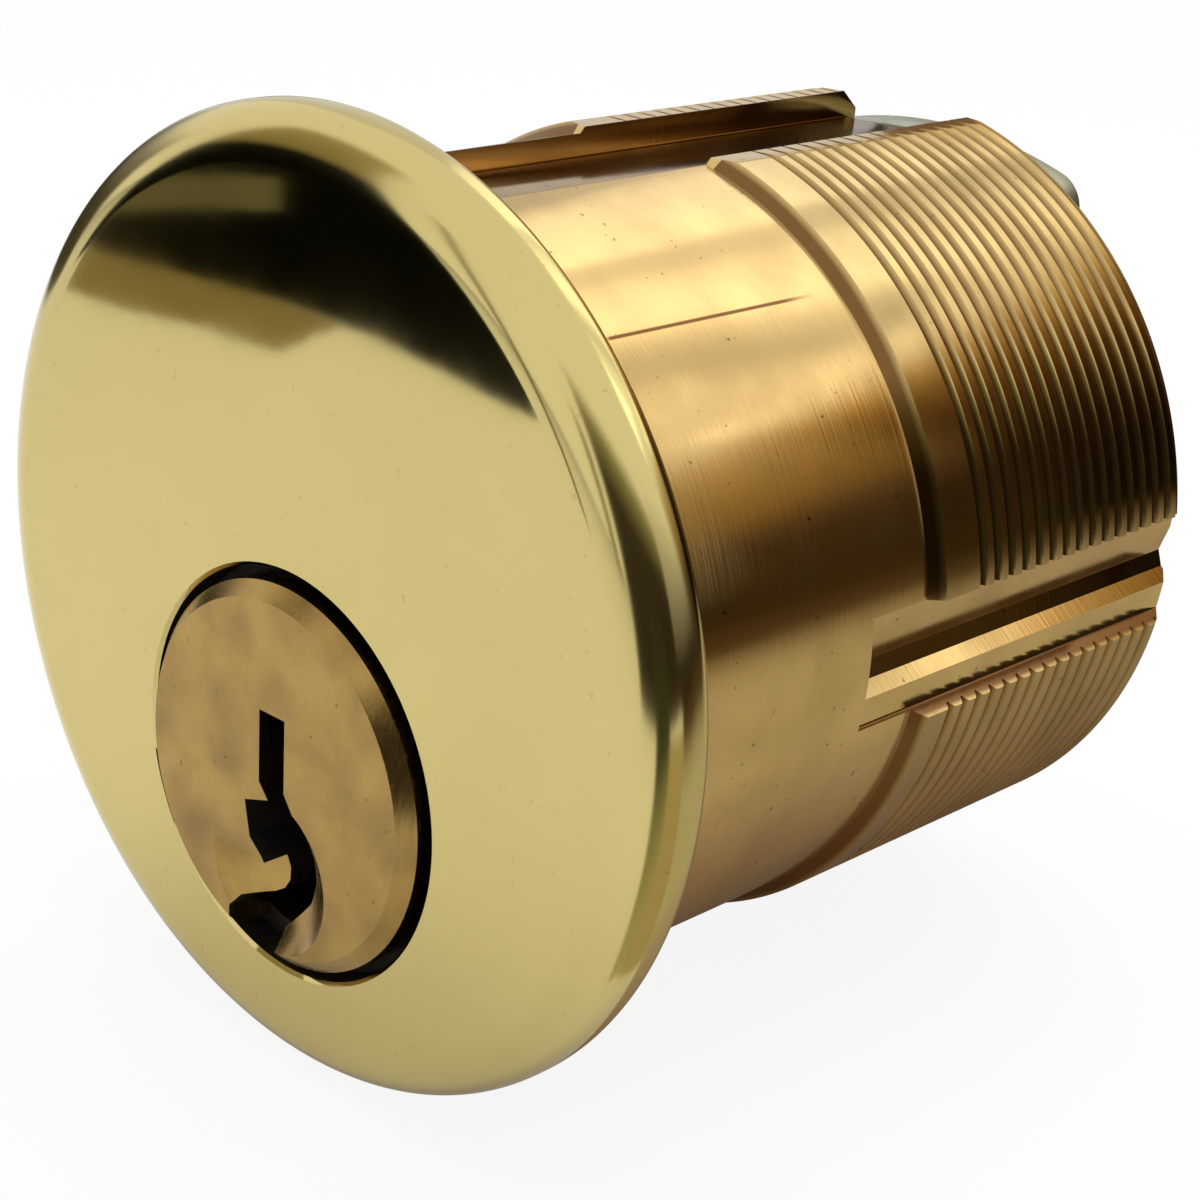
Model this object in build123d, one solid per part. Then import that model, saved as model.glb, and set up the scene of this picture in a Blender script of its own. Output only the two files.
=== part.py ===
from build123d import *
import math
import os

# A mortise cylinder for a door lock: a threaded brass body with a round head, a keyed plug that turns
# in it below the centre line, six stacks of spring, driver pin and key pin, and a cam on the rear.
# X points right as seen from the front, Y runs from the face to the rear, Z is up, in millimetres.
# The origin is on the body's own axis, in the plane of the head's back.

# Body
body_length = 28.575
thread_radius = 14.605
shank_radius = 14.15
thread_start = 13.1
thread_flat_depth = 0.555
rear_chamfer_length = 1.1
rear_chamfer_drop = 0.95
head_radius = 16.65
head_thickness = 2.4
head_front_round = 1.4
head_back_round = 0.6

# Plug
plug_drop = 5.6
plug_radius = 6.35
plug_clearance = 0.05
plug_head_radius = 6.79
plug_proud = 0.63
plug_face_chamfer = 0.5
plug_recess_depth = 1.2
plug_recess_gap = 0.42
recess_edge_break = 0.12
rear_gap = 0.10

# Keyway, measured from the plug's own axis
blade_slot_width = 1.30
blade_slot_offset = 0.08
blade_slot_top = 2.42
neck_left = -0.09
neck_height = -0.20
upper_step_height = -0.74
upper_step_reach = -1.31
upper_step_lip = 0.40
upper_ward_side = -1.17
upper_ward_foot = -1.82
lower_ward_top = -2.44
lower_ward_left = -1.03
lower_ward_shoulder = (-0.43, -2.92)
lower_ward_reach = -0.02
lower_ward_middle = -3.81
lower_ward_root = -0.62
lower_ward_slope = 0.47
lower_step_left = -1.85
lower_step_height = -5.08
foot_left = -2.13
foot_right = 0.32
foot_height = -5.50
belly_reach = 1.76
belly_height = -2.65
belly_foot = (0.64, -5.14)
dish_radius = 2.90
dish_offset = -0.02
dish_height = -3.45
dish_depth = 0.7
dish_left_top = -3.13

# Pin stacks
pin_count = 6
first_pin = 4.6
last_pin_to_rear = 4.14
chamber_wall = 0.967
pin_clearance = 0.04
pin_edge_break = 0.15
pin_tip_radius = 0.5
key_pin_lengths = (5.3, 6.5, 5.0, 7.1, 5.9, 5.5)
driver_length = 4.6
shear_gap = 0.02
chamber_floor = -2.0

# Springs
spring_side_gap = 0.20
spring_wire = 0.24
spring_turns = 7
spring_end_gap = 0.02

# Slot along the top and the cover that closes the pin chambers
top_slot_width = 6.0
top_slot_depth = 1.605
cover_thickness = 0.9
cover_undercut = 0.2
cover_side_gap = 0.02
cover_end_gap = 0.4

# Grooves for the lock's set screw, one on each side, with depths below the thread's crest
groove_lead = 2.8
groove_top = 1.45
groove_wall_depth = 0.655
groove_root_depth = 1.305
groove_root_height = -0.45
groove_knee_depth = 1.025
groove_knee_height = -1.0
groove_lip_depth = 0.635
groove_lip_height = -1.45
groove_bottom_depth = 0.825
groove_bottom = -2.78

# Cam and its two screws
cam_thickness = 1.8
cam_hub_radius = 8.6
cam_reach = 18.7
cam_tip_width = 12.9
cam_root_width = 14.2
cam_corner_round = 1.4
screw_offset = 4.1
screw_height = 0.9
screw_radius = 1.5
screw_length = 4.4
screw_clearance = 0.15
screw_thread_gap = 0.02
screw_head_radius = 2.5
screw_head_height = 1.3
screw_slot_width = 0.7
screw_slot_depth = 0.6

# Places that follow from the sizes
bore_radius = plug_radius + plug_clearance
recess_radius = plug_head_radius + plug_recess_gap
pin_spacing = (body_length - first_pin - last_pin_to_rear) / (pin_count - 1)
chamber_radius = (pin_spacing - chamber_wall) / 2
pin_radius = chamber_radius - pin_clearance
spring_outer_radius = chamber_radius - spring_side_gap
plug_face = -head_thickness - plug_proud
plug_shoulder = -head_thickness + plug_recess_depth
plug_rear = body_length + rear_gap
thread_flat = thread_radius - thread_flat_depth
top_slot_floor = thread_radius - top_slot_depth
cover_underside = top_slot_floor - cover_thickness
groove_start = thread_start - groove_lead
groove_wall = thread_radius - groove_wall_depth
groove_root = thread_radius - groove_root_depth
groove_knee = thread_radius - groove_knee_depth
groove_lip = thread_radius - groove_lip_depth
groove_bottom_wall = thread_radius - groove_bottom_depth
cam_rear = plug_rear + cam_thickness
driver_bottom = bore_radius + shear_gap - plug_drop
driver_top = driver_bottom + driver_length
pin_places = [first_pin + pin_spacing * index for index in range(pin_count)]


def node(shape, name):
    """Write one piece to its own file."""
    export_step(shape, "parts/" + name + ".step")


def turned(*edges):
    """Turn a closed outline of radius and place along Y round the body's axis."""
    return revolve(make_face(edges), Axis.Y)


def along_y(face, start, end):
    """Run a face that is drawn in X and Z along the cylinder, from one place to another."""
    placed = Plane(origin=(0, start, 0), x_dir=(1, 0, 0), z_dir=(0, -1, 0)) * face
    return extrude(placed, amount=end - start, dir=(0, 1, 0))


def rod(radius, start, end, x=0, z=0):
    """A round bar along Y."""
    return along_y(Pos(x, z) * Circle(radius), start, end)


def upright(*points):
    """Turn a closed outline of radius and height round the Z axis."""
    face = Plane.XZ * make_face(Polyline(*points, close=True))
    return revolve(face, Axis.Z)


def set_screw_groove():
    """The groove of one side: a shallow V with a short upper wall, a knee and a wide flat lip below."""
    outside = thread_radius + 1
    section = Polyline(
        (outside, groove_top),
        (groove_wall, groove_top),
        (groove_root, groove_root_height),
        (groove_knee, groove_knee_height),
        (groove_lip, groove_lip_height),
        (groove_bottom_wall, groove_bottom),
        (outside, groove_bottom),
        close=True,
    )
    return along_y(make_face(section), groove_start, body_length + 1)


def cover_section(side_gap):
    """The dovetail of the spring cover, wider at its foot than at its top."""
    half_top = top_slot_width / 2 - side_gap
    half_foot = half_top + cover_undercut
    return make_face(
        Polyline(
            (-half_foot, cover_underside),
            (half_foot, cover_underside),
            (half_top, top_slot_floor),
            (-half_top, top_slot_floor),
            close=True,
        )
    )


def cylinder_body():
    """Head, plain shank and threaded length turned as one piece, then bored, slotted and grooved.

    The thread has a narrow flat along the top, on both sides of the slot.
    """
    rise = thread_radius - shank_radius
    face = -head_thickness
    front_flat = head_radius - head_front_round
    back_flat = head_radius - head_back_round
    front_middle = head_front_round * (1 - math.sqrt(0.5))
    back_middle = head_back_round * (1 - math.sqrt(0.5))
    body = turned(
        Line((0, face), (front_flat, face)),
        ThreePointArc(
            (front_flat, face),
            (head_radius - front_middle, face + front_middle),
            (head_radius, face + head_front_round),
        ),
        Line((head_radius, face + head_front_round), (head_radius, -head_back_round)),
        ThreePointArc(
            (head_radius, -head_back_round),
            (head_radius - back_middle, -back_middle),
            (back_flat, 0),
        ),
        Polyline(
            (back_flat, 0),
            (shank_radius, 0),
            (shank_radius, thread_start),
            (thread_radius, thread_start + rise),
            (thread_radius, body_length - rear_chamfer_length),
            (thread_radius - rear_chamfer_drop, body_length),
            (0, body_length),
            (0, face),
        ),
    )
    body -= rod(bore_radius, face - 1, body_length + 1, z=-plug_drop)
    body -= rod(recess_radius, face - 1, plug_shoulder, z=-plug_drop)
    recess_mouth = Pos(0, 0, -plug_drop) * turned(
        Polyline(
            (0, face),
            (recess_radius + recess_edge_break, face),
            (recess_radius, face + recess_edge_break),
            (0, face + recess_edge_break),
            (0, face),
        )
    )
    body -= recess_mouth
    above_flat = Pos(0, thread_flat + thread_flat_depth) * Rectangle(2 * thread_radius, 2 * thread_flat_depth)
    body -= along_y(above_flat, thread_start, body_length + 1)
    slot_height = thread_radius + 1 - top_slot_floor
    top_slot = Pos(0, top_slot_floor + slot_height / 2) * Rectangle(top_slot_width, slot_height)
    body -= along_y(top_slot, 0, body_length + 1)
    body -= along_y(cover_section(0), 0, body_length + 1)
    for place in pin_places:
        chamber_height = cover_underside + plug_drop
        chamber = Cylinder(chamber_radius, chamber_height, align=(Align.CENTER, Align.CENTER, Align.MIN))
        body -= Pos(0, place, -plug_drop) * chamber
    groove = set_screw_groove()
    body -= groove
    body -= mirror(groove, about=Plane.YZ)
    return body


def spring_cover():
    """The strip that is pushed along the dovetail over the springs."""
    return along_y(cover_section(cover_side_gap), cover_end_gap, body_length - cover_end_gap)


def keyway():
    """The outline that is broached through the plug, open at the plug's underside."""
    blade_left = blade_slot_offset - blade_slot_width / 2
    blade_right = blade_slot_offset + blade_slot_width / 2
    below = -plug_head_radius - 1
    root = (lower_ward_root, lower_step_height + lower_ward_slope)
    edges = [
        Line((blade_left, blade_slot_top), (blade_right, blade_slot_top)),
        Line((blade_right, blade_slot_top), (blade_right, neck_height)),
        ThreePointArc((blade_right, neck_height), (belly_reach, belly_height), belly_foot),
        Polyline(
            belly_foot,
            (foot_right, foot_height),
            (foot_right, below),
            (foot_left, below),
            (foot_left, foot_height),
            (lower_step_left, lower_step_height),
            root,
        ),
        ThreePointArc(root, (lower_ward_reach, lower_ward_middle), lower_ward_shoulder),
        Polyline(
            lower_ward_shoulder,
            (lower_ward_left, lower_ward_top),
            (upper_ward_side, upper_ward_foot),
            (upper_step_reach, upper_step_height - upper_step_lip),
            (neck_left, upper_step_height),
            (blade_left, neck_height),
            (blade_left, blade_slot_top),
        ),
    ]
    return Pos(0, -plug_drop) * make_face(edges)


def key_dish():
    """The shallow round recess that guides the key into the lower part of the keyway."""
    dish = Pos(dish_offset, dish_height) * Circle(dish_radius)
    kept_top = 2 * dish_radius
    kept_face = Pos(-kept_top / 2, dish_left_top + kept_top / 2) * Rectangle(kept_top, kept_top)
    return Pos(0, -plug_drop) * (dish - kept_face)


def plug_chamber():
    """One drilled chamber of the plug, on the plug's axis, with the drill's cone at its foot."""
    cone_height = chamber_radius - pin_tip_radius
    return upright(
        (0, chamber_floor),
        (pin_tip_radius, chamber_floor),
        (chamber_radius, chamber_floor + cone_height),
        (chamber_radius, plug_radius + 1),
        (0, plug_radius + 1),
    )


def plug():
    """The keyed barrel with its wider head, chambers, keyway and two tapped holes at the rear."""
    barrel = turned(
        Polyline(
            (0, plug_face),
            (plug_head_radius - plug_face_chamfer, plug_face),
            (plug_head_radius, plug_face + plug_face_chamfer),
            (plug_head_radius, plug_shoulder - plug_clearance),
            (plug_radius, plug_shoulder - plug_clearance),
            (plug_radius, plug_rear),
            (0, plug_rear),
            (0, plug_face),
        )
    )
    barrel = Pos(0, 0, -plug_drop) * barrel
    for place in pin_places:
        barrel -= Pos(0, place, -plug_drop) * plug_chamber()
    barrel -= along_y(keyway(), plug_face - 1, plug_rear + 1)
    barrel -= along_y(key_dish(), plug_face - 1, plug_face + dish_depth)
    for side in (-1, 1):
        tapped = rod(
            screw_radius + screw_thread_gap,
            cam_rear - screw_length - screw_thread_gap,
            plug_rear + 1,
            x=side * screw_offset,
            z=screw_height - plug_drop,
        )
        barrel -= tapped
    return barrel


def key_pin(length):
    """A bottom pin: a coned tip for the key's cuts and a top domed to the plug's own radius."""
    dome = plug_radius - shear_gap
    shoulder = math.sqrt(dome**2 - pin_radius**2)
    middle = dome * math.sin(math.acos(pin_radius / 2 / dome))
    tip = dome - length
    outline = [
        Polyline(
            (0, dome),
            (0, tip),
            (pin_tip_radius, tip),
            (pin_radius, tip + pin_radius - pin_tip_radius),
            (pin_radius, shoulder),
        ),
        ThreePointArc((pin_radius, shoulder), (pin_radius / 2, middle), (0, dome)),
    ]
    return revolve(Plane.XZ * make_face(outline), Axis.Z)


def driver_pin():
    """A top pin: a plain cylinder with broken edges."""
    return upright(
        (0, driver_bottom),
        (pin_radius - pin_edge_break, driver_bottom),
        (pin_radius, driver_bottom + pin_edge_break),
        (pin_radius, driver_top - pin_edge_break),
        (pin_radius - pin_edge_break, driver_top),
        (0, driver_top),
    )


def pin_spring():
    """The spring between the driver pin and the cover."""
    foot = driver_top + spring_end_gap + spring_wire / 2
    head = cover_underside - spring_end_gap - spring_wire / 2
    coil_radius = spring_outer_radius - spring_wire / 2
    pitch = (head - foot) / spring_turns
    path = Helix(pitch, head - foot, coil_radius, center=(0, 0, foot))
    section = Plane(origin=path @ 0, z_dir=path % 0) * Rectangle(spring_wire, spring_wire)
    return sweep(section, path=path, is_frenet=True)


def cam():
    """The flat cam: a round hub on the plug's axis and one broad lobe that points up."""
    hub = Circle(cam_hub_radius)
    reach = 2 * cam_reach
    lobe = make_face(
        Polyline(
            (-cam_root_width / 2, 0),
            (cam_root_width / 2, 0),
            (cam_tip_width / 2, reach / 2),
            (-cam_tip_width / 2, reach / 2),
            close=True,
        )
    )
    lobe &= Circle(cam_reach)
    tip_corners = lobe.vertices().sort_by(Axis.Y)[-2:]
    lobe = fillet(tip_corners, cam_corner_round)
    holes = Pos(screw_offset, screw_height) * Circle(screw_radius + screw_clearance)
    outline = hub + lobe - holes - mirror(holes, about=Plane.YZ)
    return along_y(Pos(0, -plug_drop) * outline, plug_rear, cam_rear)


def cam_screw(side):
    """One cheese-head screw that holds the cam to the plug."""
    x = side * screw_offset
    z = screw_height - plug_drop
    screw = rod(screw_radius, cam_rear - screw_length, cam_rear, x=x, z=z)
    screw += rod(screw_head_radius, cam_rear, cam_rear + screw_head_height, x=x, z=z)
    slot = Pos(x, z) * Rectangle(screw_slot_width, 2 * screw_head_radius + 1)
    slot_floor = cam_rear + screw_head_height - screw_slot_depth
    return screw - along_y(slot, slot_floor, cam_rear + screw_head_height + 1)


def main():
    os.makedirs("parts", exist_ok=True)
    node(cylinder_body(), "cylinder_body")
    node(spring_cover(), "spring_cover")
    node(plug(), "plug")
    node(cam(), "cam")
    node(cam_screw(-1), "cam_screw_left")
    node(cam_screw(1), "cam_screw_right")
    for index, place in enumerate(pin_places):
        number = str(index + 1)
        at_plug = Pos(0, place, -plug_drop)
        length = key_pin_lengths[index % len(key_pin_lengths)]
        node(at_plug * key_pin(length), "key_pin_" + number)
        node(Pos(0, place, 0) * driver_pin(), "driver_pin_" + number)
        node(Pos(0, place, 0) * pin_spring(), "pin_spring_" + number)


main()
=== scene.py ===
"""A mortise cylinder for a door lock, dressed for its picture.

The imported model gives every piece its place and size. This add-on turns the body, the plug, the cover and
the cam again as smooth machined pieces, cuts the fine thread, and gives each piece its brass or steel.
"""

import math

import bpy
from mathutils import Matrix, Vector


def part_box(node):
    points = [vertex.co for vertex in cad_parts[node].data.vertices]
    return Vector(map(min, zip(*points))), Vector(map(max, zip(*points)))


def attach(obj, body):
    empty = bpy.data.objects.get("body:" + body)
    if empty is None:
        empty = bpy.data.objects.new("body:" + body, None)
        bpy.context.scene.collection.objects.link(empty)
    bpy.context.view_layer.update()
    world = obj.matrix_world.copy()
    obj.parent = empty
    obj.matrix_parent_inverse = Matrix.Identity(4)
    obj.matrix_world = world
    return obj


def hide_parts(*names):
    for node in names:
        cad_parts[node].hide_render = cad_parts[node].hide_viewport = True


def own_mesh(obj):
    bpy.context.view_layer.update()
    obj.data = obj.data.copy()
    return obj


bl_info = {
    "name": "Mortise Cylinder",
    "version": (1, 0, 0),
    "blender": (4, 5, 0),
    "location": "3D View > Sidebar > Cylinder",
    "description": "Dresses a mortise cylinder with a machined body, a keyed plug, a cam and their metals",
    "category": "Object",
}

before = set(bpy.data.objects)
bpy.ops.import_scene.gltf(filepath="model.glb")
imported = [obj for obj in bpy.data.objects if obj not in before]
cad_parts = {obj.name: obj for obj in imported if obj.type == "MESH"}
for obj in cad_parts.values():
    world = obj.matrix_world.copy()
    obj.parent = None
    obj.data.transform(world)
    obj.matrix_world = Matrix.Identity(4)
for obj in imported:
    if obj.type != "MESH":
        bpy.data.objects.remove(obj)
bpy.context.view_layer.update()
MM = 0.001
FLOOR_WHITE_TO_CAMERA = 0.9
FLOOR_WHITE_TO_METAL = 0.15


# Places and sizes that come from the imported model


def span(node, axis):
    """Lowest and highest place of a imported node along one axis."""
    low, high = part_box(node)
    return low[axis], high[axis]


HEAD_FACE, BODY_REAR = span("cylinder_body", 1)
HEAD_RADIUS = span("cylinder_body", 0)[1]
PLUG_FACE, PLUG_REAR = span("plug", 1)
PLUG_HEAD_RADIUS = span("plug", 0)[1]
PLUG_AXIS = span("plug", 2)[1] - PLUG_HEAD_RADIUS
COVER_FOOT, COVER_TOP = span("spring_cover", 2)
COVER_FRONT, COVER_REAR = span("spring_cover", 1)
COVER_HALF_FOOT = span("spring_cover", 0)[1]
CAM_FRONT, CAM_REAR = span("cam", 1)
CAM_TIP = span("cam", 2)[1]
SCREW_FRONT, SCREW_REAR = span("cam_screw_right", 1)
SCREW_OFFSET = sum(span("cam_screw_right", 0)) / 2
SCREW_HEIGHT = sum(span("cam_screw_right", 2)) / 2
SCREW_HEAD_RADIUS = span("cam_screw_right", 2)[1] - SCREW_HEIGHT
SPRING_FOOT, SPRING_TOP = span("pin_spring_1", 2)

# How far each driver pin can rise, in mm
DRIVER_LIFTS = (1.17, 2.37, 0.87, 2.97, 1.77, 1.37)

# Edges sharper than this stay crisp on the turned pieces, in degrees
CREASE = 28


class CylinderSizes(bpy.types.PropertyGroup):
    """Sizes of the machined pieces."""

    smoothness: bpy.props.IntProperty(
        name="Smoothness", description="Flats round the turned body", default=288, min=48, max=360
    )
    thread_radius: bpy.props.FloatProperty(
        name="Thread radius", description="Radius of the thread's crest", default=14.605 * MM, unit="LENGTH"
    )
    thread_depth: bpy.props.FloatProperty(
        name="Thread depth", description="Depth of the worn thread", default=0.26 * MM, unit="LENGTH"
    )
    thread_pitch: bpy.props.FloatProperty(
        name="Thread pitch", description="One turn of the thread", default=0.79375 * MM, unit="LENGTH"
    )
    thread_start: bpy.props.FloatProperty(
        name="Thread start", description="Where the shank ends", default=13.1 * MM, unit="LENGTH"
    )
    shank_radius: bpy.props.FloatProperty(
        name="Shank radius", description="Radius of the plain shank", default=14.15 * MM, unit="LENGTH"
    )
    thread_flat: bpy.props.FloatProperty(
        name="Thread flat", description="Height of the slot's flat edges", default=14.05 * MM, unit="LENGTH"
    )
    chamfer_length: bpy.props.FloatProperty(
        name="Rear chamfer", description="Length of the rear edge's chamfer", default=1.1 * MM, unit="LENGTH"
    )
    chamfer_drop: bpy.props.FloatProperty(
        name="Rear chamfer drop", description="What it takes off the edge", default=0.95 * MM, unit="LENGTH"
    )
    rim_front: bpy.props.FloatProperty(
        name="Front rim", description="Reach of the rolled front edge", default=1.9 * MM, unit="LENGTH"
    )
    rim_depth: bpy.props.FloatProperty(
        name="Rim depth", description="Depth of that edge", default=1.5 * MM, unit="LENGTH"
    )
    rim_back: bpy.props.FloatProperty(
        name="Back rim", description="Round of the head's back edge", default=0.6 * MM, unit="LENGTH"
    )
    bore_radius: bpy.props.FloatProperty(
        name="Bore radius", description="Bore that the plug turns in", default=6.4 * MM, unit="LENGTH"
    )
    recess_radius: bpy.props.FloatProperty(
        name="Recess radius", description="Recess round the plug's head", default=7.21 * MM, unit="LENGTH"
    )
    recess_depth: bpy.props.FloatProperty(
        name="Recess depth", description="Depth of that recess", default=1.2 * MM, unit="LENGTH"
    )
    recess_edge: bpy.props.FloatProperty(
        name="Recess edge", description="Broken edge of that recess", default=0.12 * MM, unit="LENGTH"
    )
    groove_front: bpy.props.FloatProperty(
        name="Groove front", description="Where the side grooves start", default=10.3 * MM, unit="LENGTH"
    )
    slot_width: bpy.props.FloatProperty(
        name="Top slot width", description="Slot over the pin chambers", default=6.0 * MM, unit="LENGTH"
    )
    chamber_radius: bpy.props.FloatProperty(
        name="Chamber radius", description="Bore of a pin chamber", default=1.5 * MM, unit="LENGTH"
    )
    plug_radius: bpy.props.FloatProperty(
        name="Plug radius", description="Radius of the plug's barrel", default=6.35 * MM, unit="LENGTH"
    )
    plug_chamfer: bpy.props.FloatProperty(
        name="Plug chamfer", description="Chamfer of the plug's face", default=0.5 * MM, unit="LENGTH"
    )
    dish_depth: bpy.props.FloatProperty(
        name="Dish depth", description="Depth of the key's guide dish", default=1.0 * MM, unit="LENGTH"
    )
    cam_break: bpy.props.FloatProperty(
        name="Cam edge", description="Rounding of the cam's edges", default=0.2 * MM, unit="LENGTH"
    )
    cam_hub: bpy.props.FloatProperty(
        name="Cam hub", description="Radius of the cam's hub", default=8.6 * MM, unit="LENGTH"
    )
    screw_radius: bpy.props.FloatProperty(
        name="Screw radius", description="Thread radius of a cam screw", default=1.5 * MM, unit="LENGTH"
    )
    screw_head_height: bpy.props.FloatProperty(
        name="Screw head", description="Height of a cam screw's head", default=1.3 * MM, unit="LENGTH"
    )
    screw_slot_width: bpy.props.FloatProperty(
        name="Screw slot", description="Width of the slot in a screw's head", default=0.7 * MM, unit="LENGTH"
    )
    screw_slot_depth: bpy.props.FloatProperty(
        name="Screw slot depth", description="Depth of that slot", default=0.6 * MM, unit="LENGTH"
    )
    wire_radius: bpy.props.FloatProperty(
        name="Spring wire", description="Radius of a pin spring's wire", default=0.12 * MM, unit="LENGTH"
    )
    spring_turns: bpy.props.IntProperty(
        name="Spring turns", description="Turns of a pin spring", default=7, min=3
    )


class CylinderColours(bpy.types.PropertyGroup):
    """Colours of the metals, in linear values."""

    polished: bpy.props.FloatVectorProperty(
        name="Polished brass", description="The head", subtype="COLOR", default=(0.655, 0.535, 0.215)
    )
    raw: bpy.props.FloatVectorProperty(
        name="Raw brass", description="The shank and the slots", subtype="COLOR", default=(0.70, 0.48, 0.185)
    )
    # The thread's colour is a darker copy of the raw brass: painted shade.
    threaded: bpy.props.FloatVectorProperty(
        name="Threaded brass", description="The thread's crests", subtype="COLOR", default=(0.60, 0.43, 0.17)
    )
    brushed: bpy.props.FloatVectorProperty(
        name="Brushed brass", description="The plug", subtype="COLOR", default=(0.445, 0.285, 0.085)
    )
    # Also the colour of the painted shade in the top slot and in the thread's roots.
    tarnish: bpy.props.FloatVectorProperty(
        name="Tarnish", description="Brown film on raw brass", subtype="COLOR", default=(0.16, 0.07, 0.02)
    )
    zinc: bpy.props.FloatVectorProperty(
        name="Zinc", description="The cam", subtype="COLOR", default=(0.50, 0.52, 0.42)
    )
    steel: bpy.props.FloatVectorProperty(
        name="Steel", description="Screws and springs", subtype="COLOR", default=(0.55, 0.55, 0.54)
    )


# Modelling


def start_clean():
    """Leave edit mode and select nothing."""
    if bpy.context.object and bpy.context.object.mode != "OBJECT":
        bpy.ops.object.mode_set(mode="OBJECT")
    bpy.ops.object.select_all(action="DESELECT")


def added(name):
    """Name the object that was just added."""
    bpy.context.object.name = name
    return bpy.context.object


def only(piece):
    """Select one piece alone and make it active."""
    start_clean()
    piece.select_set(True)
    bpy.context.view_layer.objects.active = piece
    return piece


def drawn(name, points):
    """Draw a chain of edges by extruding one vertex from point to point, and stay in edit mode."""
    start_clean()
    bpy.ops.mesh.primitive_plane_add(size=MM)
    piece = added(name)
    bpy.ops.object.mode_set(mode="EDIT")
    bpy.ops.mesh.merge(type="CENTER")
    bpy.ops.transform.translate(value=points[0])
    for before, after in zip(points, points[1:]):
        move = {"value": Vector(after) - Vector(before)}
        bpy.ops.mesh.extrude_vertices_move(TRANSFORM_OT_translate=move)
    bpy.ops.mesh.select_all(action="SELECT")
    return piece


def arc(centre, radius, first, last, steps, depth=None):
    """Points on an arc in a plane, from one angle to another in degrees, oval where a depth is given."""
    depth = depth or radius
    turns = [math.radians(first + (last - first) * step / steps) for step in range(steps + 1)]
    return [(centre[0] + radius * math.cos(turn), centre[1] + depth * math.sin(turn)) for turn in turns]


def settle():
    """Put the place, turn and size of the selected piece into its mesh."""
    bpy.ops.object.transform_apply(location=True, rotation=True, scale=True)


def four_sided(low, half_foot, high, half_top):
    """Corners of a section that is even about the middle, from its foot to its top."""
    return [(-half_foot, low), (half_foot, low), (half_top, high), (-half_top, high)]


def tidy_shell():
    """Merge the seams of the mesh in edit mode and point its faces outwards."""
    bpy.ops.mesh.select_all(action="SELECT")
    bpy.ops.mesh.remove_doubles(threshold=0.002 * MM)
    bpy.ops.mesh.normals_make_consistent(inside=False)
    bpy.ops.object.mode_set(mode="OBJECT")


def turned(name, outline, steps, height=0.0):
    """Spin an outline of radius and place round an axis that runs along Y at a given height."""
    piece = drawn(name, [(radius, place, height) for radius, place in outline])
    bpy.ops.mesh.spin(steps=steps, angle=2 * math.pi, center=(0, 0, height), axis=(0, 1, 0))
    tidy_shell()
    return piece


def prism(name, section, front, rear):
    """Draw a closed section in X and Z, fill it and extrude it along Y."""
    piece = drawn(name, [(x, front, z) for x, z in section])
    bpy.ops.mesh.edge_face_add()
    bpy.ops.mesh.extrude_region_move(TRANSFORM_OT_translate={"value": (0, rear - front, 0)})
    tidy_shell()
    return piece


def upright_bore(name, radius, place, low, high):
    """A drill for a pin chamber."""
    start_clean()
    centre = (0, place, (low + high) / 2)
    bpy.ops.mesh.primitive_cylinder_add(vertices=40, radius=radius, depth=high - low, location=centre)
    piece = added(name)
    settle()
    return piece


def beside(piece, offset):
    """Carry a finished piece sideways and keep its origin."""
    only(piece)
    bpy.ops.transform.translate(value=(offset, 0, 0))
    settle()
    return piece


def cut(piece, *tools):
    """Take each tool out of the piece and delete the tool."""
    for tool in tools:
        only(piece)
        boolean = piece.modifiers.new("Cut", "BOOLEAN")
        boolean.operation = "DIFFERENCE"
        boolean.solver = "EXACT"
        boolean.object = tool
        bpy.ops.object.modifier_apply(modifier=boolean.name)
        bpy.data.objects.remove(tool)
    return piece


def drill_chambers(piece, pin, radius, low, high):
    """Drill the row of pin chambers, one where each packed pin of a kind stands."""
    for number in range(1, len(DRIVER_LIFTS) + 1):
        front, rear = span("%s_%d" % (pin, number), 1)
        cut(piece, upright_bore("drill", radius, (front + rear) / 2, low, high))


def drill_screw_holes(piece, radius, front, rear):
    """Drill the holes of the two cam screws."""
    hole = [(0, front), (radius, front), (radius, rear), (0, rear)]
    for offset in (-SCREW_OFFSET, SCREW_OFFSET):
        cut(piece, beside(turned("drill", hole, 40, SCREW_HEIGHT), offset))


def wind(piece, axis, rise, turns, steps):
    """Carry a section round an axis as a helix."""
    screw = piece.modifiers.new("Helix", "SCREW")
    screw.axis = axis
    screw.angle = 2 * math.pi
    screw.screw_offset = rise
    screw.iterations = turns
    screw.steps = steps
    screw.render_steps = steps
    only(piece)
    bpy.ops.object.modifier_apply(modifier=screw.name)


def close_ends(sides):
    """Fill the open ends of a wound section and tidy its shell."""
    bpy.ops.object.mode_set(mode="EDIT")
    bpy.ops.mesh.select_all(action="SELECT")
    bpy.ops.mesh.fill_holes(sides=sides)
    tidy_shell()


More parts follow.
